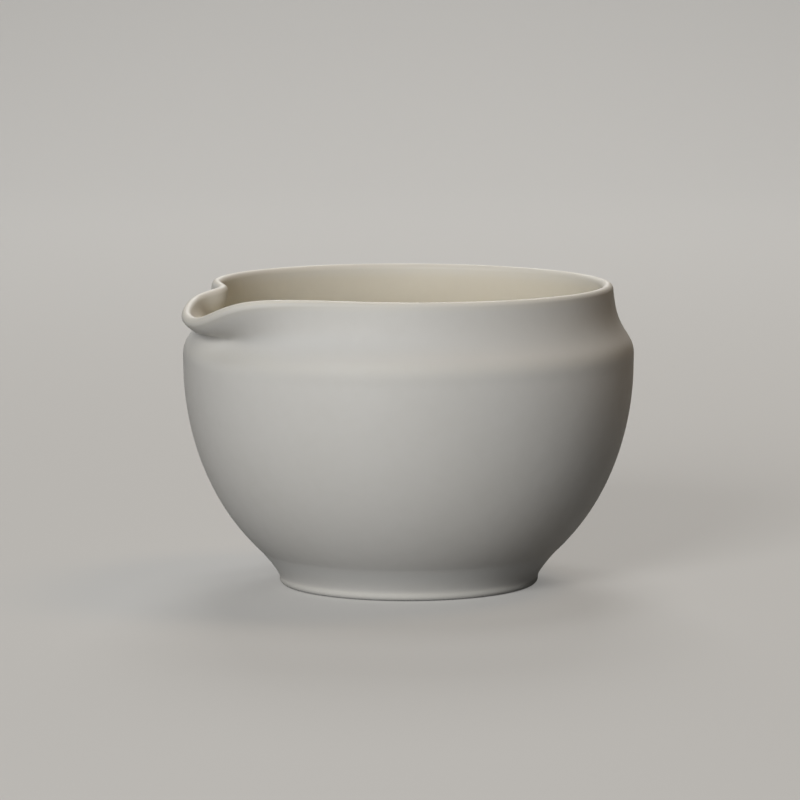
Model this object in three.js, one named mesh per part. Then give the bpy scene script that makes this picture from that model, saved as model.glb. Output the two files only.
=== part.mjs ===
// A tea bowl with a pouring lip: one fired porcelain body, and the three separate coats of glaze on it.
// Millimetres, +Z up. The origin is the centre of the foot ring, on the surface that the bowl stands on.
import * as THREE from 'three';
import { mergeVertices } from 'three/addons/utils/BufferGeometryUtils.js';

// Heights of the finished bowl's parts, one on the other up to the edge of its rim, where the rim's
// rounded crown begins.
const FOOT_HEIGHT = 9.0; // to the waist, where the foot meets the belly
const BELLY_HEIGHT = 49.3; // to the widest ring
const SHOULDER_HEIGHT = 7.6; // to the top of the shoulder
const NECK_HEIGHT = 12.7;

// Outer radii of the finished bowl at the tops of those parts, and the foot's.
const FOOT_EDGE = 1.3; // radius of the foot's rounded outer edge
const FOOT_RADIUS = 34.3;
const WAIST_RADIUS = 39.4;
const BELLY_RADIUS = 59.7;
const SHOULDER_RADIUS = 58.1;
const RIM_RADIUS = 54.1;

// Angles of the outer wall from upright, in degrees, outwards as it rises.
const WAIST_LEAN = 46.8;
const SHOULDER_LEAN = -33;
const RIM_LEAN = -5.4;

// Finished thickness of the wall, glaze included.
const WAIST_WALL = 5.0;
const BELLY_WALL = 3.5;
const SHOULDER_WALL = 3.3;
const RIM_WALL = 2.9;

// The floor and the underside.
const FLOOR_THICKNESS = 4.0; // at the centre of the bowl
const WELL_DEPTH = 3.0; // recess inside the foot ring
const FOOT_LAND = 2.6; // flat width of the foot ring, which the bowl stands on
const WELL_EDGE = 1.0; // radius of the ring's rounded inner edge
const WELL_FILLET = 2.0; // run of the curve from the ring's inner side to the recess

// The pouring lip, pulled outwards and down from the rim while the clay was soft. All widths and
// offsets are measured along the rim: an offset from the middle of the lip, and a width to where
// about a third of the pull or the dent is left.
const LIP_BEARING = 204; // middle of the lip, in degrees round from +X
const LIP_SKEW = 3.8; // it is pulled this many degrees off straight out, towards the front
const LIP_REACH = 8.2; // how far its tip is pulled out
const LIP_DROOP = 7.85; // how far its tip is pulled down
const LIP_FLARE = 0.75; // 0 where its wall stands up again at the edge, 1 where it keeps going out
const PULL_CLEARANCE = 0.25; // the pull starts this far above the shoulder
const RIM_LIFT = 0.3; // the rim stands this much high at the lip, and as much low opposite it
const FRONT_REACH_WIDTH = 36; // the front side of the lip is the one towards -Y
const FRONT_BLUNTNESS = 4.7; // 2 for a bell shape, more for a blunter one
const FRONT_DROOP_WIDTH = 19.5;
const REAR_REACH_WIDTH = 21;
const REAR_BLUNTNESS = 2.7;
const REAR_DROOP_WIDTH = 22.6;

// The dent that the finger behind the lip left in the rim and the neck.
const DENT_DEPTH = 4;
const DENT_OFFSET = 27.8;
const DENT_WIDTH = 5;

// The hollow that the thumb left in front of the lip, in the neck and the shoulder.
const THUMB_DEPTH = 2.8;
const THUMB_OFFSET = 9;
const THUMB_WIDTH = 9;
const THUMB_RISE = 1.1; // its middle is this far above the shoulder
const THUMB_HEIGHT = 4.2; // from its middle up and down to where about a third of it is left

// Glaze.
const GLAZE = 0.4; // thickness of each coat
const FOOT_BARE = 0.5; // the outer coat stops this far above the foot's rounded edge

// Fineness of the surfaces.
const FINE_ARC = 36; // degrees to each side of the lip that are cut finely
const FINE_CUTS = 22;
const COARSE_CUTS = 28;
const WELL_STEPS = 2; // to each half of the curve on the inner side of the foot ring
const FOOT_STEPS = 3; // round the foot's outer edge, and as many up to the waist
const BELLY_STEPS = 6;
const SHOULDER_STEPS = 4;
const NECK_STEPS = 6;
const FLOOR_STEPS = 4;
const RIM_ANGLES = [45, 90, 135]; // degrees over the rim's edge, the coats meeting at the first
const QUARTER_ARC = 0.39; // handle of a quarter circle, as a share of its chord
const FULL_TURN = 360;

const bellyLevel = FOOT_HEIGHT + BELLY_HEIGHT;
const shoulderLevel = bellyLevel + SHOULDER_HEIGHT;
const rimLevel = shoulderLevel + NECK_HEIGHT;
const pullLevel = shoulderLevel + PULL_CLEARANCE;
const thumbLevel = shoulderLevel + THUMB_RISE;
const radians = THREE.MathUtils.degToRad;

// A place on the turned profile: its radius and level, and the heading of the profile there,
// as an angle from upright, outwards being positive. From one place to the next the profile is
// a cubic curve, whose handles are the shares `out` and `back` of the distance between the two.
const place = (radius, level, lean, { back = 0, out = 0, wall = 0 } = {}) => ({
  at: new THREE.Vector2(radius, level),
  heading: new THREE.Vector2(Math.sin(radians(lean)), Math.cos(radians(lean))),
  back,
  out,
  wall,
});

function profileCurve(from, to) {
  const span = from.at.distanceTo(to.at);
  return new THREE.CubicBezierCurve(
    from.at,
    from.at.clone().addScaledVector(from.heading, span * from.out),
    to.at.clone().addScaledVector(to.heading, -span * to.back),
    to.at,
  );
}

// Stations along the profile from one place to the next, the last one left out.
function stationsBetween(from, to, count) {
  const curve = profileCurve(from, to);
  return Array.from({ length: count }, (_, i) => ({
    at: curve.getPoint(i / count),
    heading: curve.getTangent(i / count),
    wall: THREE.MathUtils.lerp(from.wall, to.wall, i / count),
  }));
}

function stationsThrough(places, counts) {
  const last = places.at(-1);
  return [
    ...counts.flatMap((count, i) => stationsBetween(places[i], places[i + 1], count)),
    { at: last.at, heading: last.heading, wall: last.wall },
  ];
}

// Bearings of the cuts round the bowl, measured from the lip.
function cutBearings() {
  const fine = Array.from(
    { length: FINE_CUTS },
    (_, i) => -FINE_ARC + (2 * FINE_ARC * i) / FINE_CUTS,
  );
  const rest = FULL_TURN - 2 * FINE_ARC;
  const coarse = Array.from({ length: COARSE_CUTS }, (_, i) => FINE_ARC + (rest * i) / COARSE_CUTS);
  return [...fine, ...coarse].map(radians);
}
const bearings = cutBearings();

// How strongly a pull acts at a distance from its middle: fully there, and hardly beyond its width.
const fade = (distance, width, bluntness = 2) =>
  Math.exp(-((Math.abs(distance) / width) ** bluntness));

// How far the fingers pressed the wall in, at a distance round from the lip's middle.
function pressed(around, level, height) {
  const dent = DENT_DEPTH * fade(around + DENT_OFFSET, DENT_WIDTH) * height;
  const hollow = THUMB_DEPTH * fade(around - THUMB_OFFSET, THUMB_WIDTH);
  return dent + hollow * fade(level - thumbLevel, THUMB_HEIGHT);
}

// Where the pull carries a point of the turned wall. It is strongest at the rim, and fades to
// nothing just above the shoulder.
function pulled(radius, level, bearing) {
  const around = radius * (THREE.MathUtils.euclideanModulo(bearing + Math.PI, 2 * Math.PI) - Math.PI);
  const inFront = around > 0;
  const rise = Math.max(0, (level - pullLevel) / (rimLevel - pullLevel));
  const height = rise * rise * (3 - 2 * rise);
  const outwards = inFront
    ? fade(around, FRONT_REACH_WIDTH, FRONT_BLUNTNESS)
    : fade(around, REAR_REACH_WIDTH, REAR_BLUNTNESS);
  const downwards = fade(around, inFront ? FRONT_DROOP_WIDTH : REAR_DROOP_WIDTH);
  const reach = LIP_REACH * outwards * THREE.MathUtils.lerp(height, rise * rise, LIP_FLARE);
  const lift = RIM_LIFT * Math.cos(bearing) - LIP_DROOP * downwards;
  const skew = radians(LIP_SKEW);
  const standing = radius - pressed(around, level, height);
  return new THREE.Vector3(
    standing * Math.cos(bearing) + reach * Math.cos(skew),
    standing * Math.sin(bearing) + reach * Math.sin(skew),
    level + lift * height,
  ).applyAxisAngle(new THREE.Vector3(0, 0, 1), radians(LIP_BEARING));
}

// The finished outer surface at a station: for each bearing its point, the direction straight out
// of the wall, and the direction up along the wall.
function outerRing(station) {
  const step = 1e-3;
  const { x: radius, y: level } = station.at;
  const { x: outwards, y: upwards } = station.heading;
  return bearings.map((bearing) => {
    const above = pulled(radius + step * outwards, level + step * upwards, bearing);
    const below = pulled(radius - step * outwards, level - step * upwards, bearing);
    const ahead = pulled(radius, level, bearing + step);
    const behind = pulled(radius, level, bearing - step);
    const up = above.sub(below).normalize();
    const out = ahead.sub(behind).cross(up).normalize();
    return { point: pulled(radius, level, bearing), out, up };
  });
}

// The finished inner surface, which lies the wall's thickness inside the outer one.
const innerRing = (ring, wall) =>
  ring.map(({ point, out }) => ({
    point: point.clone().addScaledVector(out, -wall),
    out: out.clone().negate(),
  }));

// One ring over the rounded edge of the rim, from 0 degrees on its outer side to 180 on its inner.
function rimRing(edge, wall, degrees) {
  const angle = radians(degrees);
  return edge.map(({ point, out, up }) => {
    const centre = point.clone().addScaledVector(out, -wall / 2);
    const around = out.clone().multiplyScalar(Math.cos(angle)).addScaledVector(up, Math.sin(angle));
    return { point: centre.addScaledVector(around, wall / 2), out: around };
  });
}

// A ring of the underside or the floor, which the pull doesn't reach. The profile runs from the
// centre outwards below and from the outside inwards above, so its right-hand side faces out.
const turnedRing = (station) => {
  const { x: radius, y: level } = station.at;
  const { x, y } = station.heading;
  const turn = radians(LIP_BEARING);
  const cuts = radius > 0 ? bearings : [0];
  return cuts.map((bearing) => {
    const east = Math.cos(bearing + turn);
    const north = Math.sin(bearing + turn);
    return {
      point: new THREE.Vector3(radius * east, radius * north, level),
      out: new THREE.Vector3(y * east, y * north, -x).normalize(),
    };
  });
};

// The underside, from the centre of the recess out to the foot's outer edge.
function undersideRings() {
  const landOuter = FOOT_RADIUS - FOOT_EDGE;
  const landInner = landOuter - FOOT_LAND;
  const wellSide = landInner - WELL_EDGE;
  const round = { back: QUARTER_ARC, out: QUARTER_ARC };
  const well = stationsThrough(
    [
      place(wellSide - WELL_FILLET, WELL_DEPTH, 90, round),
      place(wellSide, WELL_EDGE, 180, round),
      place(landInner, 0, 90, round),
    ],
    [WELL_STEPS, WELL_STEPS],
  );
  const edge = stationsThrough(
    [place(landOuter, 0, 90, round), place(FOOT_RADIUS, FOOT_EDGE, 0, round)],
    [FOOT_STEPS],
  );
  const centre = place(0, WELL_DEPTH, 90);
  return {
    well: [centre, ...well.slice(0, WELL_STEPS + 1)].map(turnedRing),
    land: [...well.slice(WELL_STEPS + 1), ...edge].map(turnedRing),
  };
}

// The outer wall from the foot's edge to the edge of the rim.
function wallStations() {
  const waist = place(WAIST_RADIUS, FOOT_HEIGHT, WAIST_LEAN, {
    back: 0.1,
    out: 0.47,
    wall: WAIST_WALL,
  });
  const belly = place(BELLY_RADIUS, bellyLevel, 0, { back: 0.16, out: 0.36, wall: BELLY_WALL });
  const shoulder = place(SHOULDER_RADIUS, shoulderLevel, SHOULDER_LEAN, {
    back: 0.46,
    out: 0.36,
    wall: SHOULDER_WALL,
  });
  const rim = place(RIM_RADIUS, rimLevel, RIM_LEAN, { back: 0.49, wall: RIM_WALL });
  const bareLine = place(FOOT_RADIUS, FOOT_EDGE + FOOT_BARE, 0, { out: 0.17, wall: WAIST_WALL });
  return {
    foot: stationsBetween(bareLine, waist, FOOT_STEPS),
    upper: stationsThrough([waist, belly, shoulder, rim], [BELLY_STEPS, SHOULDER_STEPS, NECK_STEPS]),
  };
}

// The floor, from the foot of the inner wall to the centre.
function floorStations(upper) {
  const waist = upper[0];
  const side = new THREE.Vector2(waist.heading.y, -waist.heading.x);
  const start = {
    at: waist.at.clone().addScaledVector(side, -waist.wall),
    heading: waist.heading.clone().negate(),
    out: 0.3,
  };
  const centre = place(0, WELL_DEPTH + FLOOR_THICKNESS, -90, { back: 0.5 });
  return stationsThrough([start, centre], [FLOOR_STEPS]).slice(1);
}

// The whole finished surface as rings, in order from the centre underneath, up the outside, over
// the rim and down the inside to the centre of the floor, and where each coat of glaze lies on it.
function finishedSurface() {
  const { well, land } = undersideRings();
  const { foot, upper } = wallStations();
  const outer = [...foot, ...upper].map(outerRing);
  const edge = outer.at(-1);
  const [coatSeam, ...overRim] = RIM_ANGLES.map((degrees) => rimRing(edge, RIM_WALL, degrees));
  const inner = upper.map((station, i) => innerRing(outer[foot.length + i], station.wall)).reverse();
  const floor = floorStations(upper).map(turnedRing);
  const zones = [well, land, [...outer, coatSeam], [...overRim, ...inner, ...floor]];
  const rings = zones.flat();
  const seamIndex = well.length + land.length + outer.length;
  return {
    rings,
    well: [0, well.length - 1],
    outside: [well.length + land.length, seamIndex],
    inside: [seamIndex, rings.length - 1],
  };
}

// Triangles between two neighbouring rings, facing out, or facing in where `inwards` is true. Two
// pieces that share such a face cut its quads along the same diagonals, so they meet exactly.
function strip(triangles, from, to, inwards = false) {
  const count = Math.max(from.length, to.length);
  const pick = (ring, i) => ring[ring.length === 1 ? 0 : i % count];
  for (let i = 0; i < count; i += 1) {
    const quad = [pick(from, i), pick(from, i + 1), pick(to, i + 1), pick(to, i)];
    for (const [a, b, c] of [[0, 1, 2], [0, 2, 3]]) {
      const corners = [quad[a], quad[b], quad[c]];
      if (new Set(corners).size === 3) triangles.push(...(inwards ? corners.reverse() : corners));
    }
  }
}

function geometryOf(triangles) {
  const soup = new THREE.BufferGeometry().setFromPoints(triangles);
  const geometry = mergeVertices(soup, 1e-5);
  geometry.computeVertexNormals();
  return geometry;
}

const finished = (ring) => ring.map(({ point }) => point);
const underGlaze = (ring) =>
  ring.map(({ point, out }) => point.clone().addScaledVector(out, -GLAZE));

const surface = finishedSurface();
const skin = surface.rings.map(finished);
const clay = surface.rings.map(underGlaze);

// One coat of glaze: the finished skin over the clay, closed round its edges.
function coatGeometry([first, last]) {
  const triangles = [];
  for (let i = first; i < last; i += 1) {
    strip(triangles, skin[i], skin[i + 1]);
    strip(triangles, clay[i], clay[i + 1], true);
  }
  if (skin[first].length > 1) strip(triangles, skin[first], clay[first], true);
  if (skin[last].length > 1) strip(triangles, skin[last], clay[last]);
  return geometryOf(triangles);
}

// The fired body: clay wherever a coat covers it, and the finished skin on the bare foot ring.
function bodyGeometry() {
  const triangles = [];
  const { well, outside, inside } = surface;
  for (const [first, last] of [well, outside, inside]) {
    for (let i = first; i < last; i += 1) strip(triangles, clay[i], clay[i + 1]);
  }
  for (let i = well[1]; i < outside[0]; i += 1) strip(triangles, skin[i], skin[i + 1]);
  strip(triangles, skin[well[1]], clay[well[1]], true);
  strip(triangles, skin[outside[0]], clay[outside[0]]);
  return geometryOf(triangles);
}

const material = (color, roughness) =>
  new THREE.MeshStandardMaterial({ color, roughness, metalness: 0 });

function piece(name, geometry, finish) {
  const mesh = new THREE.Mesh(geometry, finish);
  mesh.name = name;
  return mesh;
}

const bowl = new THREE.Group();
bowl.name = 'lipped_tea_bowl';
bowl.add(
  piece('porcelain_body', bodyGeometry(), material(0xe4dfd4, 0.85)),
  piece('outer_glaze', coatGeometry(surface.outside), material(0xdcdad3, 0.6)),
  piece('inner_glaze', coatGeometry(surface.inside), material(0xe0dac9, 0.35)),
  piece('foot_well_glaze', coatGeometry(surface.well), material(0xdcdad3, 0.6)),
);

export default bowl;
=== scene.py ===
"""Looks of a porcelain tea bowl with a pouring lip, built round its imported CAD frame.

The bowl is one surface of revolution, pulled out of round at its lip. The same sizes as in the CAD
source give it here, on far finer rings, with the marks that throwing, turning and glazing leave.
Sizes are in millimetres, and meshes in metres.
"""

from __future__ import annotations

import logging
import math
from collections.abc import Mapping, Sequence
from dataclasses import dataclass, field
from enum import Enum

import bmesh
import bpy
import numpy as np
from mathutils import Euler, Matrix, Vector


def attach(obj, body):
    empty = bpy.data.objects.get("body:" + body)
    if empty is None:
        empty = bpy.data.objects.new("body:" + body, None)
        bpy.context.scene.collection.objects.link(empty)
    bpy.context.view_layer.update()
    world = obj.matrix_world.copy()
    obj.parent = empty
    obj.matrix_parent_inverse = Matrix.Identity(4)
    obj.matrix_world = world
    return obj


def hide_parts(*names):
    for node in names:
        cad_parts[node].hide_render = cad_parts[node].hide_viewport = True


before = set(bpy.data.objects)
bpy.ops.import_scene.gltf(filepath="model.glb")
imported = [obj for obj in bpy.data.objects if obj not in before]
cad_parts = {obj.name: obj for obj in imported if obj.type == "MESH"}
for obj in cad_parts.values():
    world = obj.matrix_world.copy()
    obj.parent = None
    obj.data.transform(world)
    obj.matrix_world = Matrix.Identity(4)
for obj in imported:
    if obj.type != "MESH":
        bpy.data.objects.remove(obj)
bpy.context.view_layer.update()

log = logging.getLogger("tea_bowl")

MM = 0.001
BODY = "root"

MERGE_DISTANCE = 1e-7
SHARP_ANGLE = 40
NOISE_ROUGHNESS = 0.55

Colour = tuple[float, float, float]
Setting = object


class Slot(Enum):
    """Material slots of the record."""

    BARE = "bare_porcelain"
    MATT = "matt_glaze"
    SATIN = "satin_glaze"


class Node(Enum):
    """Nodes of the CAD model."""

    CLAY = "porcelain_body"
    OUTSIDE = "outer_glaze"
    INSIDE = "inner_glaze"
    WELL = "foot_well_glaze"


class Mark(Enum):
    """What varies from ring to ring of the surface, kept on the mesh for the finishes to read."""

    THIN = "thin"
    POOLED = "pooled"


# Shader expressions


class Link:
    """A shader socket that can be used in arithmetic."""

    def __init__(self, shader: Shader, socket: bpy.types.NodeSocket) -> None:
        """Wraps an output socket of a shader's node."""
        self.shader = shader
        self.socket = socket

    def _math(self, operation: str, *values: Link | float) -> Link:
        """Adds one Math node and returns its result."""
        return self.shader.node(
            "ShaderNodeMath", {"operation": operation}, dict(enumerate(values))
        )

    def __add__(self, other: Link | float) -> Link:
        """Sum."""
        return self._math("ADD", self, other)

    def __radd__(self, other: float) -> Link:
        """Sum, with the number first."""
        return self._math("ADD", other, self)

    def __sub__(self, other: Link | float) -> Link:
        """Difference."""
        return self._math("SUBTRACT", self, other)

    def __rsub__(self, other: float) -> Link:
        """Difference, with the number first."""
        return self._math("SUBTRACT", other, self)

    def __mul__(self, other: Link | float) -> Link:
        """Product."""
        return self._math("MULTIPLY", self, other)

    def over(self, low: float, high: float) -> Link:
        """Smooth step from 0 at `low` to 1 at `high`."""
        return self.shader.node(
            "ShaderNodeMapRange",
            {"interpolation_type": "SMOOTHSTEP", "clamp": True},
            {"Value": self, "From Min": low, "From Max": high},
        )


class Shader:
    """A node material with one principled surface."""

    def __init__(self, name: str) -> None:
        """Makes an empty material.

        Args:
            name: Name of the material.
        """
        self.material = bpy.data.materials.new(name)
        self.material.use_nodes = True
        self.tree = self.material.node_tree
        self.tree.nodes.clear()

    def node(
        self,
        kind: str,
        settings: Mapping[str, Setting] | None = None,
        inputs: Mapping[str | int, Setting] | None = None,
        output: str | int = 0,
    ) -> Link:
        """Adds a node.

        Args:
            kind: Blender's type name of the node.
            settings: What is set on the node before its sockets.
            inputs: A number, colour or link for each socket, by name or place.
            output: The socket that is handed back.

        Returns:
            The link from that output.
        """
        made = self.tree.nodes.new(kind)
        for name, value in (settings or {}).items():
            setattr(made, name, value)
        for place, value in (inputs or {}).items():
            if isinstance(value, Link):
                self.tree.links.new(value.socket, made.inputs[place])
            else:
                made.inputs[place].default_value = value
        return Link(self, made.outputs[output])

    def position(self) -> Link:
        """Place on the object in metres."""
        return self.node("ShaderNodeTexCoord", output="Object")

    def mark(self, mark: Mark) -> Link:
        """A mark that the mesh carries."""
        return self.node("ShaderNodeAttribute", {"attribute_name": mark.value}, output="Fac")

    def noise(self, size_mm: float, detail: float = 2) -> Link:
        """Adds cloudy variation.

        Args:
            size_mm: About how large the clouds are.
            detail: How many times finer clouds lie on them.

        Returns:
            A value from 0 to 1.
        """
        return self.node(
            "ShaderNodeTexNoise",
            inputs={
                "Vector": self.position(),
                "Scale": 1 / (size_mm * MM),
                "Detail": detail,
                "Roughness": NOISE_ROUGHNESS,
            },
        )

    def clouds(self, size_mm: float) -> Link:
        """Broad clouds with soft edges."""
        return self.noise(size_mm, 3).over(0.35, 0.7)

    def mottle(self, size_mm: float) -> Link:
        """Fine mottle, finer in itself than the clouds are."""
        return self.noise(size_mm, 4).over(0.3, 0.75)

    def pits(self, spacing_mm: float, radius_mm: float) -> Link:
        """Adds small round pits.

        Args:
            spacing_mm: About how far apart they are.
            radius_mm: How far from its middle each one ends.

        Returns:
            A value of 1 in the middle of each and 0 outside.
        """
        nearest = self.node(
            "ShaderNodeTexVoronoi",
            inputs={"Vector": self.position(), "Scale": 1 / (spacing_mm * MM)},
            output="Distance",
        )
        return 1 - nearest.over(0, radius_mm / spacing_mm)

    def blend(self, share: Link | float, first: Link | Colour, second: Link | Colour) -> Link:
        """Mixes two colours.

        Args:
            share: How much of the second one is seen.
            first: The colour at 0.
            second: The colour at 1.

        Returns:
            The colour between them.
        """
        sides = [c if isinstance(c, Link) else (*c, 1) for c in (first, second)]
        return self.node(
            "ShaderNodeMix", {"data_type": "RGBA"}, {0: share, 6: sides[0], 7: sides[1]}, 2
        )

    def bump(self, height: Link, depth_mm: float, under: Link | None = None) -> Link:
        """Adds a relief.

        Args:
            height: Its height, from 0 to 1.
            depth_mm: The depth that a height of 1 stands for.
            under: The normal of a relief that this one lies on.

        Returns:
            The normal of the relief.
        """
        inputs = {"Height": height, "Distance": depth_mm * MM, "Strength": 1.0}
        if under:
            inputs["Normal"] = under
        return self.node("ShaderNodeBump", inputs=inputs)

    def surface(self, **inputs: Setting) -> bpy.types.Material:
        """Ends the material in a principled surface.

        Args:
            **inputs: Its sockets, with underscores for the spaces in their names.

        Returns:
            The finished material.
        """
        named = {name.replace("_", " "): value for name, value in inputs.items()}
        surface = self.node("ShaderNodeBsdfPrincipled", inputs=named)
        end = self.tree.nodes.new("ShaderNodeOutputMaterial")
        self.tree.links.new(surface.socket, end.inputs["Surface"])
        return self.material


@dataclass(frozen=True)
class MattGlaze:
    """Matt white glaze: a dry, even skin that thins over edges and gathers in the coves."""

    name: str = "matt_white_glaze"
    colour: Colour = (0.70, 0.687, 0.653)
    cloud_colour: Colour = (0.672, 0.657, 0.618)
    thin_colour: Colour = (0.72, 0.696, 0.632)
    pooled_colour: Colour = (0.68, 0.677, 0.653)
    speck_colour: Colour = (0.42, 0.40, 0.36)
    roughness: float = 0.62
    roughness_spread: float = 0.08
    pooled_gloss: float = 0.05
    specular: float = 0.35
    cloud_share: float = 0.55
    mottle_share: float = 0.3
    pooled_share: float = 0.7
    thin_share: float = 0.5
    thin_mottle: float = 0.3
    speck_share: float = 0.5
    cloud_mm: float = 38
    mottle_mm: float = 3.2
    pit_spacing_mm: float = 9
    pit_radius_mm: float = 0.16
    grain_mm: float = 0.35
    grain_depth_mm: float = 0.012
    pit_depth: float = 2
    wave_mm: float = 7
    wave_depth_mm: float = 0.05

    def material(self) -> bpy.types.Material:
        """Builds the material.

        Returns:
            The material, which reads both marks of the mesh.
        """
        shader = Shader(self.name)
        clouds = shader.clouds(self.cloud_mm)
        mottle = shader.mottle(self.mottle_mm)
        pits = shader.pits(self.pit_spacing_mm, self.pit_radius_mm)
        thin, pooled = shader.mark(Mark.THIN), shader.mark(Mark.POOLED)
        clouded = clouds * self.cloud_share + mottle * self.mottle_share
        thinned = thin * (self.thin_share + mottle * self.thin_mottle)
        colour = shader.blend(clouded, self.colour, self.cloud_colour)
        colour = shader.blend(pooled * self.pooled_share, colour, self.pooled_colour)
        colour = shader.blend(thinned, colour, self.thin_colour)
        colour = shader.blend(pits * self.speck_share, colour, self.speck_colour)
        grain = shader.noise(self.grain_mm, 3)
        relief = shader.bump(shader.noise(self.wave_mm, 2), self.wave_depth_mm)
        relief = shader.bump(grain - pits * self.pit_depth, self.grain_depth_mm, relief)
        roughness = self.roughness + (mottle - 0.5) * self.roughness_spread
        roughness = roughness - pooled * self.pooled_gloss
        return shader.surface(
            Base_Color=colour,
            Roughness=roughness,
            Normal=relief,
            Specular_IOR_Level=self.specular,
        )


@dataclass(frozen=True)
class SatinGlaze:
    """Satin cream glaze: softly shining, pooled on the floor, thin over the throwing rings."""

    name: str = "satin_cream_glaze"
    colour: Colour = (0.73, 0.69, 0.59)
    cloud_colour: Colour = (0.70, 0.655, 0.555)
    thin_colour: Colour = (0.74, 0.715, 0.65)
    pooled_colour: Colour = (0.67, 0.625, 0.51)
    speck_colour: Colour = (0.40, 0.34, 0.25)
    roughness: float = 0.42
    roughness_spread: float = 0.1
    thin_roughness: float = 0.14
    specular: float = 0.45
    cloud_share: float = 0.5
    mottle_share: float = 0.3
    pooled_share: float = 0.8
    thin_share: float = 0.75
    thin_mottle: float = 0.2
    speck_share: float = 0.5
    cloud_mm: float = 24
    mottle_mm: float = 2.4
    pit_spacing_mm: float = 7
    pit_radius_mm: float = 0.14
    grain_mm: float = 1.1
    grain_depth_mm: float = 0.01
    pit_depth: float = 3

    def material(self) -> bpy.types.Material:
        """Builds the material.

        Returns:
            The material, which reads both marks of the mesh.
        """
        shader = Shader(self.name)
        clouds = shader.clouds(self.cloud_mm)
        mottle = shader.mottle(self.mottle_mm)
        pits = shader.pits(self.pit_spacing_mm, self.pit_radius_mm)
        thin, pooled = shader.mark(Mark.THIN), shader.mark(Mark.POOLED)
        clouded = clouds * self.cloud_share + mottle * self.mottle_share
        thinned = thin * (self.thin_share + mottle * self.thin_mottle)
        colour = shader.blend(clouded, self.colour, self.cloud_colour)
        colour = shader.blend(pooled * self.pooled_share, colour, self.pooled_colour)
        colour = shader.blend(thinned, colour, self.thin_colour)
        colour = shader.blend(pits * self.speck_share, colour, self.speck_colour)
        grain = shader.noise(self.grain_mm, 3)
        relief = shader.bump(grain - pits * self.pit_depth, self.grain_depth_mm)
        roughness = self.roughness + (mottle - 0.5) * self.roughness_spread
        roughness = roughness + thin * self.thin_roughness
        return shader.surface(
            Base_Color=colour,
            Roughness=roughness,
            Normal=relief,
            Specular_IOR_Level=self.specular,
        )


@dataclass(frozen=True)
class BarePorcelain:
    """Fired porcelain without glaze, sanded smooth, warmer where the glaze ends."""

    name: str = "bare_fired_porcelain"
    colour: Colour = (0.68, 0.675, 0.65)
    cloud_colour: Colour = (0.65, 0.64, 0.605)
    toasted_colour: Colour = (0.65, 0.63, 0.575)
    grit_colour: Colour = (0.36, 0.33, 0.29)
    roughness: float = 0.8
    roughness_spread: float = 0.1
    specular: float = 0.3
    mottle_share: float = 0.7
    toasted_share: float = 0.6
    grit_share: float = 0.6
    mottle_mm: float = 2.5
    grit_spacing_mm: float = 3.1
    grit_radius_mm: float = 0.13
    grain_mm: float = 0.22
    grain_depth_mm: float = 0.02

    def material(self) -> bpy.types.Material:
        """Builds the material.

        Returns:
            The material, toasted where the mesh marks a thin line.
        """
        shader = Shader(self.name)
        mottle = shader.mottle(self.mottle_mm)
        grit = shader.pits(self.grit_spacing_mm, self.grit_radius_mm)
        toasted = shader.mark(Mark.THIN) * self.toasted_share
        colour = shader.blend(mottle * self.mottle_share, self.colour, self.cloud_colour)
        colour = shader.blend(toasted, colour, self.toasted_colour)
        colour = shader.blend(grit * self.grit_share, colour, self.grit_colour)
        relief = shader.bump(shader.noise(self.grain_mm, 3) - grit, self.grain_depth_mm)
        roughness = self.roughness + (mottle - 0.5) * self.roughness_spread
        return shader.surface(
            Base_Color=colour,
            Roughness=roughness,
            Normal=relief,
            Specular_IOR_Level=self.specular,
        )


# The turned form


@dataclass(frozen=True)
class Place:
    """A place on the turned profile, and the handles of the curves that meet there.

    The lean is the heading of the profile as an angle from upright, outwards being positive.
    """

    radius: float
    level: float
    lean: float
    back: float = 0.0
    out: float = 0.0
    wall: float = 0.0

    @property
    def at(self) -> np.ndarray:
        """Radius and level."""
        return np.array([self.radius, self.level])

    @property
    def heading(self) -> np.ndarray:
        """Heading of the profile as a vector."""
        lean = math.radians(self.lean)
        return np.array([math.sin(lean), math.cos(lean)])


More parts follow.
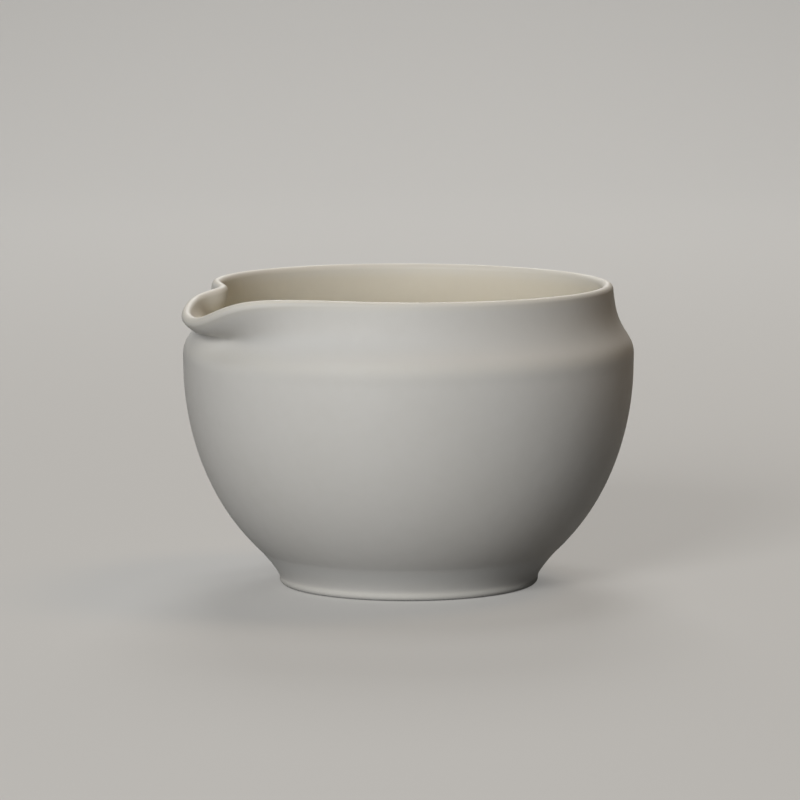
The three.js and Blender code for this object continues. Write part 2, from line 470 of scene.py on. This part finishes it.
@dataclass(frozen=True)
class Stations:
    """Stations along the profile: places, headings and the wall's thickness at each."""

    at: np.ndarray
    heading: np.ndarray
    wall: np.ndarray

    def __getitem__(self, picked: slice) -> Stations:
        """The stations of a slice."""
        return Stations(self.at[picked], self.heading[picked], self.wall[picked])

    @staticmethod
    def joined(runs: Sequence[Stations]) -> Stations:
        """One run of stations from several."""
        return Stations(
            np.concatenate([run.at for run in runs]),
            np.concatenate([run.heading for run in runs]),
            np.concatenate([run.wall for run in runs]),
        )

    @staticmethod
    def between(start: Place, end: Place, count: int) -> Stations:
        """Sets stations along the cubic curve from one place to the next.

        Args:
            start: The place that it leaves.
            end: The place that it reaches.
            count: How many stations it gets, the last place left out.

        Returns:
            The stations, evenly spaced in the curve's own measure.
        """
        span = np.linalg.norm(end.at - start.at)
        points = [
            start.at,
            start.at + start.heading * span * start.out,
            end.at - end.heading * span * end.back,
            end.at,
        ]
        share = (np.arange(count) / count)[:, None]
        rest = 1 - share
        weights = [rest**3, 3 * rest**2 * share, 3 * rest * share**2, share**3]
        slopes = [rest**2, 2 * rest * share, share**2]
        at = sum(weight * point for weight, point in zip(weights, points))
        along = sum(slope * (b - a) for slope, a, b in zip(slopes, points, points[1:]))
        along[0] = start.heading
        heading = along / np.linalg.norm(along, axis=1, keepdims=True)
        wall = start.wall + (end.wall - start.wall) * share[:, 0]
        return Stations(at, heading, wall)

    @staticmethod
    def through(places: Sequence[Place], counts: Sequence[int]) -> Stations:
        """Sets stations along the curves through several places.

        Args:
            places: The places, in order.
            counts: How many stations each curve gets.

        Returns:
            The stations, the last place with them.
        """
        runs = [
            Stations.between(start, end, count)
            for start, end, count in zip(places, places[1:], counts)
        ]
        last = places[-1]
        end = Stations(last.at[None], last.heading[None], np.array([last.wall]))
        return Stations.joined([*runs, end])


def fade(
    distance: np.ndarray, width: float | np.ndarray, bluntness: float | np.ndarray = 2
) -> np.ndarray:
    """Fades out on both sides of a line.

    Args:
        distance: Distances from the line.
        width: Distance at which about a third is left.
        bluntness: 2 for a plain bell, and more for a flatter top with steeper sides.

    Returns:
        1 on the line, and hardly anything beyond twice the width.
    """
    return np.exp(-((np.abs(distance) / width) ** bluntness))


@dataclass(frozen=True)
class Band:
    """A band round the bowl where the glaze lies thinner or thicker, fading on both sides."""

    width: float
    offset: float = 0.0
    strength: float = 1.0

    def across(self, distance: np.ndarray) -> np.ndarray:
        """Its strength at these distances from the line that it goes by."""
        return self.strength * fade(distance - self.offset, self.width)


@dataclass(frozen=True)
class LipPull:
    """The pull that made the pouring lip, and what the fingers pressed in on its two sides."""

    bearing: float = 204
    skew: float = 3.8
    reach: float = 8.2
    droop: float = 7.85
    flare: float = 0.75
    clearance: float = 0.25
    rim_lift: float = 0.3
    front_reach_width: float = 36
    front_bluntness: float = 4.7
    front_droop_width: float = 19.5
    rear_reach_width: float = 21
    rear_bluntness: float = 2.7
    rear_droop_width: float = 22.6
    dent_depth: float = 4
    dent_offset: float = 27.8
    dent_width: float = 5
    thumb_depth: float = 3.0
    thumb_offset: float = 8
    thumb_front_width: float = 17
    thumb_rear_width: float = 12
    thumb_rise: float = -0.5
    thumb_height_above: float = 5.0
    thumb_height_below: float = 3.2

    def carry(
        self, radius: np.ndarray, level: np.ndarray, bearing: np.ndarray, low: float, high: float
    ) -> np.ndarray:
        """Carries points of the turned wall to where the pull leaves them.

        Args:
            radius: Their distances from the axis.
            level: Their levels.
            bearing: Their bearings from the middle of the lip, in radians.
            low: Level of the shoulder, above which the pull starts.
            high: Level of the rim, at which it is full.

        Returns:
            The points, as an array whose last axis is x, y and z.
        """
        around = radius * (np.mod(bearing + math.pi, 2 * math.pi) - math.pi)
        in_front = around > 0
        start = low + self.clearance
        rise = np.maximum(0, (level - start) / (high - start))
        height = rise * rise * (3 - 2 * rise)
        dent = self.dent_depth * fade(around + self.dent_offset, self.dent_width) * height
        ahead, above = around - self.thumb_offset, level - low - self.thumb_rise
        hollow = self.thumb_depth * fade(
            ahead, np.where(ahead > 0, self.thumb_front_width, self.thumb_rear_width)
        )
        hollow *= fade(
            above, np.where(above > 0, self.thumb_height_above, self.thumb_height_below)
        )
        standing = radius - dent - hollow
        width = np.where(in_front, self.front_reach_width, self.rear_reach_width)
        bluntness = np.where(in_front, self.front_bluntness, self.rear_bluntness)
        reach = self.reach * fade(around, width, bluntness)
        reach *= height + (rise * rise - height) * self.flare
        droop = fade(around, np.where(in_front, self.front_droop_width, self.rear_droop_width))
        skew, turn = math.radians(self.skew), math.radians(self.bearing)
        x = standing * np.cos(bearing) + reach * math.cos(skew)
        y = standing * np.sin(bearing) + reach * math.sin(skew)
        z = level + (self.rim_lift * np.cos(bearing) - self.droop * droop) * height
        return np.stack(
            [x * math.cos(turn) - y * math.sin(turn), x * math.sin(turn) + y * math.cos(turn), z],
            axis=-1,
        )


@dataclass(frozen=True)
class Rings:
    """Rings of points round the bowl, the direction out of the surface at each, and the marks."""

    points: np.ndarray
    out: np.ndarray
    thin: np.ndarray
    pooled: np.ndarray

    @staticmethod
    def joined(runs: Sequence[Rings]) -> Rings:
        """One run of rings from several."""
        return Rings(
            np.concatenate([run.points for run in runs]),
            np.concatenate([run.out for run in runs]),
            np.concatenate([run.thin for run in runs]),
            np.concatenate([run.pooled for run in runs]),
        )

    def sunk(self, depth: float | np.ndarray) -> np.ndarray:
        """The points this far below the surface."""
        return self.points - self.out * depth


@dataclass(frozen=True)
class BowlForm:
    """The finished surface of the bowl, as rings from under its foot to the floor inside."""

    lip: LipPull = field(default_factory=LipPull)
    rim_height: float = 78.5
    waist_share: float = 0.1145
    belly_share: float = 0.7417
    shoulder_share: float = 0.8384
    foot_edge: float = 1.3
    foot_radius: float = 34.3
    waist_radius: float = 39.4
    belly_radius: float = 59.49
    shoulder_radius: float = 58.1
    rim_radius: float = 54.1
    waist_lean: float = 46.8
    shoulder_lean: float = -33
    rim_lean: float = -5.4
    waist_wall: float = 5.0
    belly_wall: float = 3.5
    shoulder_wall: float = 3.3
    rim_wall: float = 2.9
    foot_handle: float = 0.17
    waist_handles: tuple[float, float] = (0.1, 0.47)
    belly_handles: tuple[float, float] = (0.16, 0.36)
    shoulder_handles: tuple[float, float] = (0.46, 0.36)
    rim_handle: float = 0.49
    flat_handle: float = 0.3
    floor_handle: float = 0.5
    floor_thickness: float = 4.0
    well_depth: float = 3.0
    foot_land: float = 2.6
    well_edge: float = 1.0
    well_fillet: float = 2.0
    foot_bare: float = 0.5
    quarter_arc: float = 0.39
    seam_angle: int = 45
    rim_step: int = 5
    crown_end: int = 175
    fine_arc: float = 42
    fine_cuts: int = 120
    coarse_cuts: int = 160
    well_rings: tuple[int, int] = (24, 8)
    land_rings: tuple[int, int, int] = (8, 4, 8)
    foot_rings: int = 16
    wall_rings: tuple[int, int, int] = (42, 20, 30)
    floor_rings: int = 34
    finger_pitch: float = 6.4
    finger_depth: float = 0.16
    finger_start: float = 14
    finger_onset: float = 18
    finger_end: float = 12
    shoulder_ridge: Band = Band(2.2, offset=-2.4, strength=0.6)
    glaze_edge: Band = Band(0.5)
    outer_crown: Band = Band(0.9)
    inner_crown: Band = Band(1.6)
    foot_cove: Band = Band(2.4, offset=-2.2)
    neck_cove: Band = Band(2.6, offset=3.4, strength=0.7)
    well_rim: Band = Band(1.2)
    bare_line: Band = Band(0.3)
    floor_pool: Band = Band(22)

    @property
    def bearings(self) -> np.ndarray:
        """Sets the cuts, closer together near the lip.

        Returns:
            Their bearings from the middle of the lip, in radians.
        """
        arc = self.fine_arc
        fine = np.linspace(-arc, arc, self.fine_cuts, endpoint=False)
        coarse = np.linspace(arc, 360 - arc, self.coarse_cuts, endpoint=False)
        return np.radians(np.concatenate([fine, coarse]))

    @property
    def shoulder_level(self) -> float:
        """Level of the top of the shoulder."""
        return self.rim_height * self.shoulder_share

    @property
    def waist_level(self) -> float:
        """Level of the waist above the foot."""
        return self.rim_height * self.waist_share

    def _carried(self, radius: np.ndarray, level: np.ndarray, bearing: np.ndarray) -> np.ndarray:
        """Points of the turned wall where the lip's pull leaves them."""
        return self.lip.carry(radius, level, bearing, self.shoulder_level, self.rim_height)

    def _outer(self, stations: Stations) -> tuple[np.ndarray, np.ndarray, np.ndarray]:
        """Works out the outer wall as the pull leaves it.

        Args:
            stations: Stations of the turned profile.

        Returns:
            The points, the directions out of the wall and the directions up along it.
        """
        step = 1e-3
        bearing = self.bearings[None, :]
        radius, level = (stations.at[:, i, None] + 0 * bearing for i in (0, 1))
        outwards, upwards = (stations.heading[:, i, None] * step for i in (0, 1))
        up = self._carried(radius + outwards, level + upwards, bearing) - self._carried(
            radius - outwards, level - upwards, bearing
        )
        ahead = self._carried(radius, level, bearing + step)
        around = ahead - self._carried(radius, level, bearing - step)
        up /= np.linalg.norm(up, axis=-1, keepdims=True)
        out = np.cross(around, up)
        out /= np.linalg.norm(out, axis=-1, keepdims=True)
        return self._carried(radius, level, bearing), out, up

    def _turned(self, stations: Stations) -> tuple[np.ndarray, np.ndarray]:
        """Turns stations that the pull doesn't reach.

        Args:
            stations: Stations of the turned profile.

        Returns:
            The points, and the directions out of the surface, to the right of the run.
        """
        bearing = self.bearings[None, :] + math.radians(self.lip.bearing)
        east, north = np.cos(bearing), np.sin(bearing)
        radius, level = (stations.at[:, i, None] for i in (0, 1))
        across, along = (stations.heading[:, i, None] for i in (0, 1))
        points = np.stack([radius * east, radius * north, level + 0 * east], axis=-1)
        out = np.stack([along * east, along * north, -across + 0 * east], axis=-1)
        return points, out

    def _marked(self, points: np.ndarray, out: np.ndarray, **marks: np.ndarray) -> Rings:
        """Rings with marks that are the same all round each ring.

        Args:
            points: Points of the rings.
            out: Directions out of the surface.
            **marks: One value for each ring, nothing where a mark is left out.

        Returns:
            The rings.
        """
        flat = np.zeros(len(points))
        spread = {
            mark.value: np.repeat(marks.get(mark.value, flat)[:, None], points.shape[1], axis=1)
            for mark in Mark
        }
        return Rings(points, out, spread["thin"], spread["pooled"])

    def underside(self) -> tuple[Rings, Rings]:
        """Works out the underside.

        Returns:
            The glazed recess inside the foot ring, and the bare ring with the foot's edge.
        """
        land_outer = self.foot_radius - self.foot_edge
        land_inner = land_outer - self.foot_land
        well_side = land_inner - self.well_edge
        flat, quarter = self.flat_handle, self.quarter_arc
        well = Stations.through(
            [
                Place(0, self.well_depth, 90, out=flat),
                Place(well_side - self.well_fillet, self.well_depth, 90, back=flat, out=quarter),
                Place(well_side, self.well_edge, 180, back=quarter, out=quarter),
            ],
            self.well_rings,
        )
        land = Stations.through(
            [
                Place(well_side, self.well_edge, 180, out=quarter),
                Place(land_inner, 0, 90, back=quarter, out=flat),
                Place(land_outer, 0, 90, back=flat, out=quarter),
                Place(self.foot_radius, self.foot_edge, 0, back=quarter),
            ],
            self.land_rings,
        )
        bare = Stations.joined([land[1:], self._wall()[0][:1]])
        edge = self.well_rim.across(well.at[:, 0] - well_side)
        radius = bare.at[:, 0]
        line = self.bare_line.across(radius - self.foot_radius)
        line += self.bare_line.across(radius - well_side)
        return (
            self._marked(*self._turned(well), thin=edge),
            self._marked(*self._turned(bare), thin=line),
        )

    def _wall(self) -> tuple[Stations, Stations]:
        """Sets the stations of the outer wall.

        Returns:
            Those from the glaze's lower edge to the waist, and those from the waist to the rim.
        """
        waist = Place(
            self.waist_radius,
            self.waist_level,
            self.waist_lean,
            *self.waist_handles,
            wall=self.waist_wall,
        )
        belly = Place(
            self.belly_radius,
            self.rim_height * self.belly_share,
            0,
            *self.belly_handles,
            wall=self.belly_wall,
        )
        shoulder = Place(
            self.shoulder_radius,
            self.shoulder_level,
            self.shoulder_lean,
            *self.shoulder_handles,
            wall=self.shoulder_wall,
        )
        rim = Place(
            self.rim_radius,
            self.rim_height,
            self.rim_lean,
            back=self.rim_handle,
            wall=self.rim_wall,
        )
        glaze_edge = Place(
            self.foot_radius,
            self.foot_edge + self.foot_bare,
            0,
            out=self.foot_handle,
            wall=self.waist_wall,
        )
        foot = Stations.between(glaze_edge, waist, self.foot_rings)
        upper = Stations.through([waist, belly, shoulder, rim], self.wall_rings)
        return foot, upper

    def outside(self) -> Rings:
        """Works out the outer wall, up to where the inner glaze comes over the rim to meet it.

        Returns:
            Its rings, thin on the edges and pooled in the two coves.
        """
        stations = Stations.joined(self._wall())
        points, out, _ = self._outer(stations)
        level = stations.at[:, 1]
        thin = [
            self.shoulder_ridge.across(level - self.shoulder_level),
            self.glaze_edge.across(level - self.foot_edge - self.foot_bare),
            self.outer_crown.across(level - self.rim_height),
        ]
        pooled = self.foot_cove.across(level - self.waist_level)
        pooled += self.neck_cove.across(level - self.shoulder_level)
        wall = self._marked(points, out, thin=np.maximum.reduce(thin), pooled=pooled)
        return Rings.joined([wall, self._crown(0, self.seam_angle)])

    def _crown(self, first: int, last: int) -> Rings:
        """The rounded crown of the rim between two angles from its outer side, the last included.

        Args:
            first: Degrees over the crown at which it starts, not itself included.
            last: Degrees at which it ends.

        Returns:
            The rings over that part of the crown.
        """
        edge, out, up = self._outer(self._wall()[1][-1:])
        centre = edge - out * self.rim_wall / 2
        degrees = np.arange(first + self.rim_step, last + 1, self.rim_step)
        angle = np.radians(degrees)[:, None, None]
        around = out * np.cos(angle) + up * np.sin(angle)
        points = centre + around * self.rim_wall / 2
        return self._marked(points, around, thin=np.ones(len(degrees)))

    def inside(self) -> Rings:
        """Works out the crown from the seam on, the inner wall and the floor.

        Returns:
            Their rings, with the thrower's finger marks in them.
        """
        upper = self._wall()[1]
        outer, out, _ = self._outer(upper)
        wall = (outer - out * upper.wall[:, None, None])[::-1]
        level = upper.at[::-1, 1]
        waist = upper[:1]
        side = np.array([waist.heading[0, 1], -waist.heading[0, 0]])
        start = waist.at[0] - side * self.waist_wall
        lean = math.degrees(math.atan2(*waist.heading[0]))
        floor = Stations.through(
            [
                Place(*start, lean + 180, out=self.flat_handle),
                Place(0, self.well_depth + self.floor_thickness, -90, back=self.floor_handle),
            ],
            [self.floor_rings],
        )[1:]
        thin = self.inner_crown.across(level - self.rim_height)
        crown = self._crown(self.seam_angle - self.rim_step, self.crown_end)
        inner = self._marked(wall, -out[::-1], thin=thin)
        floor_points, floor_out = self._turned(floor)
        pooled = self.floor_pool.across(floor.at[:, 0])
        bottom = self._marked(floor_points, floor_out, pooled=pooled)
        rings = Rings.joined([crown, inner, bottom])
        return self._fingered(rings)

    def _fingered(self, rings: Rings) -> Rings:
        """Sinks a slow spiral into the surface, the furrow that the thrower's finger left.

        Args:
            rings: Rings from the rim to the centre of the floor.

        Returns:
            The rings with the furrow, which starts below the rim and ends before the centre.
        """
        middle = rings.points.mean(axis=1)
        spokes = rings.points - middle[:, None]
        radius = np.hypot(spokes[..., 0], spokes[..., 1]).mean(axis=1)
        steps = np.hypot(np.diff(radius), np.diff(middle[:, 2]))
        run = np.concatenate([[0], np.cumsum(steps)])[:, None]
        turn = self.bearings[None, :] / (2 * math.pi)
        below_rim = np.clip((run - self.finger_start) / self.finger_onset, 0, 1)
        near_centre = np.clip((run[-1] - run) / self.finger_end, 0, 1)
        wave = np.cos(2 * math.pi * (run / self.finger_pitch + turn))
        depth = self.finger_depth * (0.5 + 0.5 * wave)
        sunk = rings.sunk((depth * below_rim * near_centre)[..., None])
        return Rings(sunk, rings.out, rings.thin, rings.pooled)


@dataclass
class Mesher:
    """Gathers rings into one closed mesh, with the marks of each."""

    name: str
    points: list[np.ndarray] = field(default_factory=list)
    faces: list[np.ndarray] = field(default_factory=list)
    marks: dict[Mark, list[np.ndarray]] = field(default_factory=lambda: {m: [] for m in Mark})
    count: int = 0

    def add(self, points: np.ndarray, rings: Rings | None = None) -> np.ndarray:
        """Adds rings of points.

        Args:
            points: The points, ring by ring.
            rings: Where their marks come from, none for hidden ones.

        Returns:
            The number of each point in the mesh, ring by ring.
        """
        size = points.shape[0] * points.shape[1]
        self.points.append(points.reshape(-1, 3) * MM)
        for mark, kept in self.marks.items():
            values = getattr(rings, mark.value) if rings else np.zeros(size)
            kept.append(np.clip(values, 0, 1).ravel())
        numbers = np.arange(self.count, self.count + size).reshape(points.shape[:2])
        self.count += size
        return numbers

    def skin(self, numbers: np.ndarray, inwards: bool = False) -> None:
        """Adds the faces between neighbouring rings.

        Args:
            numbers: The number of each point, ring by ring.
            inwards: Whether the faces look in.
        """
        ahead = np.roll(numbers, -1, axis=1)
        quads = np.stack([numbers[:-1], ahead[:-1], ahead[1:], numbers[1:]], axis=-1)
        self.faces.append((quads[..., ::-1] if inwards else quads).reshape(-1, 4))

    def mesh(self) -> bpy.types.Mesh:
        """Makes the mesh.

        Returns:
            The mesh, with rings at the centre drawn together and sharp edges kept sharp.
        """
        mesh = bpy.data.meshes.new(self.name)
        mesh.from_pydata(
            np.concatenate(self.points).tolist(), [], np.concatenate(self.faces).tolist()
        )
        for mark, kept in self.marks.items():
            attribute = mesh.attributes.new(mark.value, "FLOAT", "POINT")
            attribute.data.foreach_set("value", np.concatenate(kept).astype(np.float32))
        made = bmesh.new()
        made.from_mesh(mesh)
        bmesh.ops.remove_doubles(made, verts=made.verts, dist=MERGE_DISTANCE)
        bmesh.ops.dissolve_degenerate(made, edges=made.edges, dist=MERGE_DISTANCE)
        for face in made.faces:
            face.smooth = True
        for edge in made.edges:
            edge.smooth = edge.calc_face_angle(0) < math.radians(SHARP_ANGLE)
        made.to_mesh(mesh)
        made.free()
        return mesh


@dataclass
class BowlPieces:
    """The fired body and its three coats of glaze, one piece for each node of the CAD model."""

    form: BowlForm = field(default_factory=BowlForm)
    glaze: float = 0.4
    hidden_stride: int = 3

    def _hidden(self, rings: Rings) -> np.ndarray:
        """Works out the clay under a coat of glaze.

        Args:
            rings: The skin of the coat.

        Returns:
            Points on fewer rings, the first and last among them.
        """
        count = len(rings.points)
        picked = sorted({*range(0, count, self.hidden_stride), count - 1})
        return rings.sunk(self.glaze)[picked]

    def coat(self, name: str, rings: Rings) -> bpy.types.Mesh:
        """Builds a coat of glaze, with its skin and the hidden side that lies on the clay.

        Args:
            name: Name of the mesh.
            rings: The skin of the coat.

        Returns:
            The closed mesh.
        """
        mesher = Mesher(name)
        skin = mesher.add(rings.points, rings)
        under = mesher.add(self._hidden(rings))
        mesher.skin(skin)
        mesher.skin(under, inwards=True)
        mesher.skin(np.stack([skin[0], under[0]]), inwards=True)
        mesher.skin(np.stack([skin[-1], under[-1]]))
        return mesher.mesh()

    def clay(self, name: str, well: Rings, bare: Rings, coats: Sequence[Rings]) -> bpy.types.Mesh:
        """Builds the fired body, with clay under the coats and the skin of the bare foot ring.

        Args:
            name: Name of the mesh.
            well: The coat in the recess under the foot.
            bare: The bare foot ring.
            coats: The outer and the inner coat.

        Returns:
            The closed mesh.
        """
        mesher = Mesher(name)
        under_well = mesher.add(self._hidden(well))
        foot = mesher.add(bare.points, bare)
        above = [mesher.add(self._hidden(coat)) for coat in coats]
        edge = mesher.add(well.points[-1:])
        for numbers in (under_well, np.concatenate([edge, foot]), *above):
            mesher.skin(numbers)
        mesher.skin(np.stack([under_well[-1], edge[0]]))
        mesher.skin(np.stack([foot[-1], above[0][0]]))
        return mesher.mesh()

    def build(self) -> list[bpy.types.Object]:
        """Builds and dresses the four pieces.

        Returns:
            The pieces, each in place of its CAD node.
        """
        form = self.form
        well, bare = form.underside()
        outside, inside = form.outside(), form.inside()
        matt = MattGlaze().material()
        return [
            self._place(
                self.clay("fired_porcelain_body", well, bare, [outside, inside]),
                BarePorcelain().material(),
                Node.CLAY,
            ),
            self._place(self.coat("matt_outer_coat", outside), matt, Node.OUTSIDE),
            self._place(
                self.coat("satin_inner_coat", inside),
                SatinGlaze().material(),
                Node.INSIDE,
            ),
            self._place(self.coat("matt_well_coat", well), matt, Node.WELL),
        ]

    def _place(
        self, mesh: bpy.types.Mesh, finish: bpy.types.Material, node: Node
    ) -> bpy.types.Object:
        """Puts a piece into the scene on its body, in place of its CAD node.

        Args:
            mesh: The piece's mesh, whose name the piece takes.
            finish: Its material.
            node: The CAD node that it stands for.

        Returns:
            The piece.
        """
        piece = bpy.data.objects.new(mesh.name, mesh)
        bpy.context.scene.collection.objects.link(piece)
        mesh.materials.append(finish)
        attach(piece, BODY)
        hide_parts(node.value)
        log.info("%s stands for %s, %d faces", piece.name, node.value, len(mesh.polygons))
        return piece


# The studio


@dataclass(frozen=True)
class SoftLamp:
    """A square soft lamp, placed by where it stands as seen from the bowl.

    Turn is measured from the camera's side, to the right where it is positive.
    """

    name: str
    turn: float
    height: float
    distance: float
    side: float
    power: float
    colour: Colour = (1.0, 1.0, 1.0)

    def place(self, target: Vector) -> None:
        """Hangs the lamp.

        Args:
            target: The point that it faces.
        """
        light = bpy.data.lights.new(self.name, "AREA")
        light.shape = "SQUARE"
        light.size = self.side
        light.energy = self.power
        light.color = self.colour
        lamp = bpy.data.objects.new(self.name, light)
        turn, height = math.radians(self.turn), math.radians(self.height)
        towards = Vector(
            (
                math.sin(turn) * math.cos(height),
                -math.cos(turn) * math.cos(height),
                math.sin(height),
            )
        )
        lamp.location = target + towards * self.distance
        lamp.rotation_euler = towards.to_track_quat("Z", "Y").to_euler()
        bpy.context.scene.collection.objects.link(lamp)


@dataclass(frozen=True)
class Studio:
    """Plain pale floor that sweeps up behind the bowl, soft lamps, surroundings and camera."""

    target: tuple[float, float, float] = (-0.00225, 0.0, 0.0485)
    camera_distance: float = 1.4
    camera_height: float = 7.03
    camera_roll: float = -0.11
    focal_length: float = 238.05
    clip_end: float = 50
    floor_colour: Colour = (0.37, 0.364, 0.35)
    floor_glow: Colour = (0.21, 0.206, 0.198)
    bounce_colour: Colour = (0.10, 0.098, 0.095)
    surroundings: Colour = (0.02, 0.02, 0.02)
    floor_front: float = -2.6
    floor_back: float = 1.2
    sweep_radius: float = 0.9
    sweep_top: float = 3.0
    half_width: float = 3.5
    sweep_cuts: int = 33
    paper_roughness: float = 0.9
    paper_specular: float = 0.1
    lamps: tuple[SoftLamp, ...] = (
        SoftLamp("key_lamp", turn=-23, height=22, distance=1.7, side=0.6, power=17.2),
        SoftLamp("low_lamp", turn=-10, height=4, distance=2.0, side=0.35, power=3.9),
        SoftLamp("rear_lamp", turn=180, height=68, distance=1.7, side=0.6, power=5.0),
        SoftLamp("back_lamp", turn=180, height=34, distance=1.7, side=0.6, power=9.0),
        SoftLamp(
            "side_lamp",
            turn=104,
            height=62,
            distance=1.7,
            side=0.6,
            power=3.9,
            colour=(1.0, 0.74, 0.47),
        ),
    )

    def floor(self) -> None:
        """Lays the floor and the backdrop in one sweep, dimmer to the bowl than to the camera."""
        angles = np.radians(np.linspace(0, 90, self.sweep_cuts))
        radius = self.sweep_radius
        run = [(self.floor_front, 0.0)]
        run += [
            (self.floor_back + radius * math.sin(a), radius * (1 - math.cos(a))) for a in angles
        ]
        run.append((self.floor_back + radius, self.sweep_top))
        points = [(x, y, z) for y, z in run for x in (-self.half_width, self.half_width)]
        faces = [(2 * i, 2 * i + 1, 2 * i + 3, 2 * i + 2) for i in range(len(run) - 1)]
        mesh = bpy.data.meshes.new("studio_sweep")
        mesh.from_pydata(points, [], faces)
        mesh.shade_smooth()
        mesh.materials.append(self._floor_material())
        sweep = bpy.data.objects.new("studio_sweep", mesh)
        bpy.context.scene.collection.objects.link(sweep)

    def _floor_material(self) -> bpy.types.Material:
        """Builds the finish of the sweep.

        Returns:
            Matt paper that glows a little to the camera and in reflections, and keeps shadows.
        """
        shader = Shader("studio_paper")
        seen = [
            shader.node("ShaderNodeLightPath", output=ray)
            for ray in ("Is Camera Ray", "Is Glossy Ray", "Is Transmission Ray")
        ]
        pale = seen[0] + seen[1] + seen[2]
        colour = shader.blend(pale, self.bounce_colour, self.floor_colour)
        glow = shader.blend(pale, (0.0, 0.0, 0.0), self.floor_glow)
        return shader.surface(
            Base_Color=colour,
            Emission_Color=glow,
            Emission_Strength=1.0,
            Roughness=self.paper_roughness,
            Specular_IOR_Level=self.paper_specular,
        )

    def world(self) -> None:
        """Sets dim, even surroundings."""
        world = bpy.data.worlds.new("surroundings")
        world.use_nodes = True
        bpy.context.scene.world = world
        background = world.node_tree.nodes["Background"]
        background.inputs["Color"].default_value = (*self.surroundings, 1)
        background.inputs["Strength"].default_value = 1.0

    def camera(self) -> None:
        """Sets up the camera at the photograph's viewing angle."""
        lens = bpy.data.cameras.new("camera")
        lens.lens = self.focal_length
        lens.clip_end = self.clip_end
        camera = bpy.data.objects.new("camera", lens)
        height = math.radians(self.camera_height)
        back = Vector((0, -math.cos(height), math.sin(height))) * self.camera_distance
        camera.location = Vector(self.target) + back
        tilt = Euler((math.pi / 2 - height, 0, 0)).to_matrix()
        roll = Matrix.Rotation(math.radians(self.camera_roll), 3, "Z")
        camera.rotation_euler = (tilt @ roll).to_euler()
        bpy.context.scene.collection.objects.link(camera)
        bpy.context.scene.camera = camera

    def build(self) -> None:
        """Sets up everything round the bowl."""
        bpy.context.scene.view_settings.view_transform = "Standard"
        self.camera()
        self.floor()
        self.world()
        for lamp in self.lamps:
            lamp.place(Vector(self.target))
            log.info("%s stands in the studio", lamp.name)


def main() -> None:
    """Builds the bowl and its studio."""
    logging.basicConfig(level=logging.INFO, format="%(name)s: %(message)s")
    pieces = BowlPieces().build()
    Studio().build()
    log.info("%d pieces ride on %s", len(pieces), BODY)


if __name__ == "__main__":
    main()
